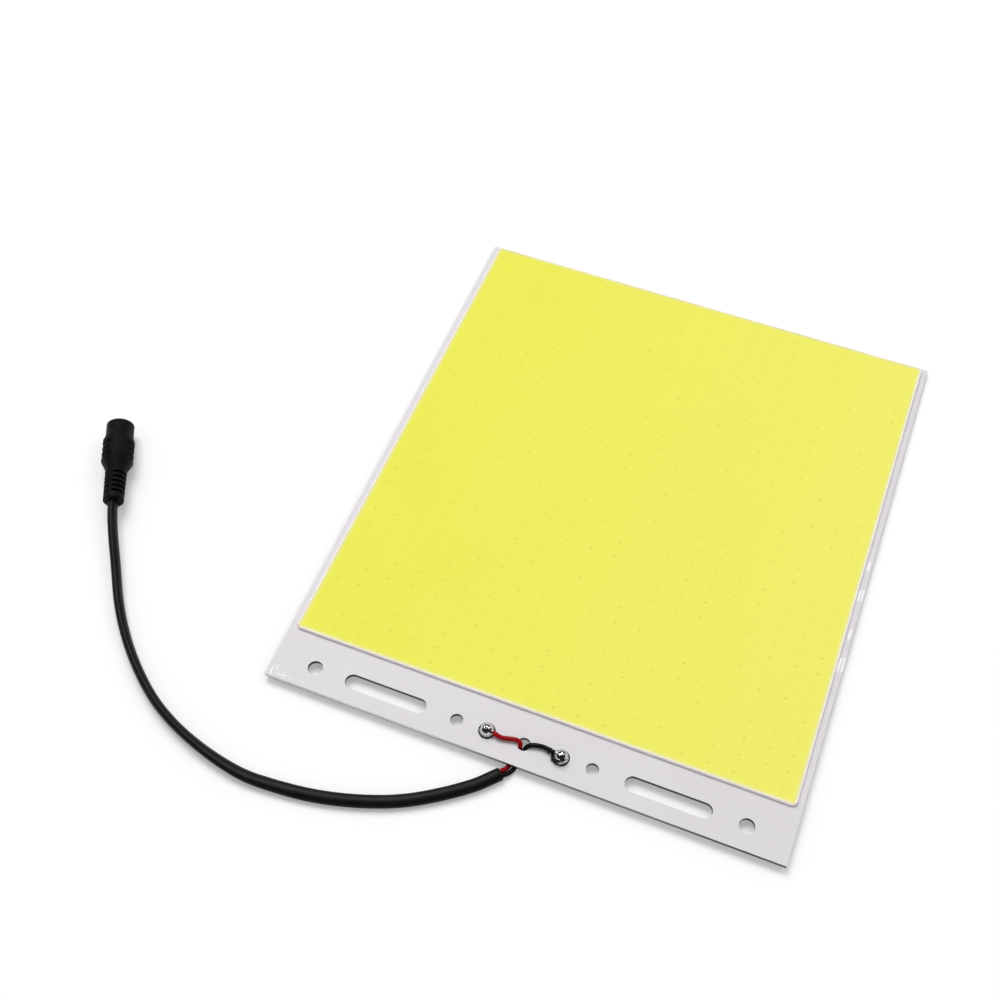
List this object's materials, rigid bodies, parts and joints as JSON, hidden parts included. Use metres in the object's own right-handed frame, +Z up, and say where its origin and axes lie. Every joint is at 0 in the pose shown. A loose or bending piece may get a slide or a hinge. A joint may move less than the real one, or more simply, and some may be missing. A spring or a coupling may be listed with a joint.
{
  "type": "led panel",
  "caption": "Flat rectangular LED light panel: white aluminium board with a yellow phosphor field, slotted fixing strip and a soldered lead ending in a round power socket.",
  "frame": {"origin": "middle of the hole row, on the axis of the wire hole, at the board's underside", "axes": "+X along the hole strip, red joint at -X and black joint at +X; +Y from the hole strip to the far edge; +Z up out of the light field"},
  "size_m": [0.28, 0.2466, 0.0122],
  "materials": {
    "aluminium_sheet": "mill finish, sheared edges",
    "bond_layer": "filled epoxy",
    "copper_foil": "bare copper",
    "white_lacquer": "satin white solder mask",
    "die": "polished sapphire chip",
    "white_silicone": "glossy white silicone",
    "phosphor_silicone": "satin yellow silicone",
    "solder": "bright tin solder",
    "tinned_wire": "tinned strands",
    "red_pvc": "soft gloss PVC",
    "black_pvc": "soft gloss PVC",
    "jacket_pvc": "satin black PVC",
    "moulding_pvc": "matt black moulded PVC",
    "liner_plastic": "black moulded plastic",
    "contact_metal": "nickel plate"
  },
  "bodies": {
    "root": {"base_plate": "aluminium_sheet", "insulation_layer": "bond_layer", "positive_track": "copper_foil", "negative_track": "copper_foil", "link_strips": "copper_foil", "solder_mask": "white_lacquer", "led_dies": "die", "dam_bead": "white_silicone", "phosphor_coat": "phosphor_silicone", "solder_joint_positive": "solder", "solder_joint_negative": "solder", "red_wire_end": "tinned_wire", "black_wire_end": "tinned_wire", "red_core": "red_pvc", "black_core": "black_pvc", "lead_jacket": "jacket_pvc", "jack_body": "moulding_pvc", "jack_liner": "liner_plastic", "jack_spring_contact": "contact_metal", "jack_centre_pin": "contact_metal"}
  },
  "joints": []
}
